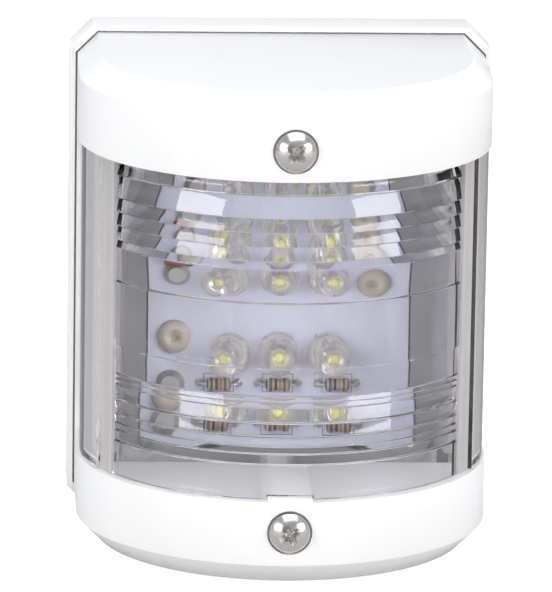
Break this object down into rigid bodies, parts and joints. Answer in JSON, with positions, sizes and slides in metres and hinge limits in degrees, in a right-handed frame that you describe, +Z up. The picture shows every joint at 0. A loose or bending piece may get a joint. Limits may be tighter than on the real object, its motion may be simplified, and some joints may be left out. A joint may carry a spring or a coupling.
{
  "type": "navigation light",
  "caption": "Wall-mounted boat stern light: white D-shaped cover with a clear ribbed wrap-round lens, held to a flat base plate by cross-head screws, with an LED board inside.",
  "frame": {"origin": "centre of the base plate's wall face", "axes": "+Y into the wall, -Y the way the lamp faces, +Z up, +X to the right seen from in front"},
  "size_m": [0.0716, 0.0633, 0.0844],
  "materials": {
    "white_housing": "glossy injection-moulded ABS",
    "screen_grey": "matt dark grey",
    "clear_lens": "clear polished moulded lens",
    "frosted_strip": "frosted",
    "gasket_rubber": "matt",
    "board": "white solder mask, satin",
    "led_epoxy": "milky epoxy",
    "phosphor": "matt phosphor",
    "tinned_metal": "tinned",
    "resistor": "lacquered with colour bands",
    "rivet_nylon": "natural nylon",
    "solder": "bright solder",
    "terminal_plastic": "natural nylon",
    "brass_insert": "turned",
    "red_insulation": "PVC",
    "black_insulation": "PVC",
    "stainless": "polished stainless"
  },
  "bodies": {
    "base": {"base_plate": "white_housing", "sector_screens": "screen_grey", "wall_gasket": "gasket_rubber", "cover_gasket": "gasket_rubber", "cable_grommet": "gasket_rubber", "circuit_board": "board", "led_lenses": "led_epoxy", "led_chips": "phosphor", "led_lead_frames": "tinned_metal", "resistor_bodies": "resistor", "resistor_leads": "tinned_metal", "board_rivets": "rivet_nylon", "solder_joints": "solder", "terminal_block": "terminal_plastic", "terminal_inserts": "brass_insert", "terminal_screws": "tinned_metal", "red_lead": "red_insulation", "black_lead": "black_insulation"},
    "cover": {"front_cover": "white_housing", "lens": "clear_lens", "left_cutoff_strip": "frosted_strip", "right_cutoff_strip": "frosted_strip"},
    "top_washer": {"top_seal_washer": "gasket_rubber"},
    "top_screw": {"top_cover_screw": "stainless"},
    "bottom_washer": {"bottom_seal_washer": "gasket_rubber"},
    "bottom_screw": {"bottom_cover_screw": "stainless"}
  },
  "joints": [
    {"name": "cover_pull", "type": "slide", "parent": "base", "child": "cover", "axis": [0, -1, 0], "range_m": [0, 0.06]},
    {"name": "top_screw_travel", "type": "slide", "parent": "cover", "child": "top_washer", "axis": [0, -1, 0], "range_m": [0, 0.0143]},
    {"name": "top_screw_turn", "type": "hinge", "parent": "top_washer", "child": "top_screw", "pos_m": [0, -0.061, 0.0319], "axis": [0, -1, 0], "range_deg": [0, 3960]},
    {"name": "bottom_screw_travel", "type": "slide", "parent": "cover", "child": "bottom_washer", "axis": [0, -1, 0], "range_m": [0, 0.0143]},
    {"name": "bottom_screw_turn", "type": "hinge", "parent": "bottom_washer", "child": "bottom_screw", "pos_m": [0, -0.061, -0.0319], "axis": [0, -1, 0], "range_deg": [0, 3960]}
  ],
  "couplings": [
    {"joint": "top_screw_turn", "follows": "top_screw_travel", "rad_per_m": 4833.2},
    {"joint": "bottom_screw_turn", "follows": "bottom_screw_travel", "rad_per_m": 4833.2}
  ]
}
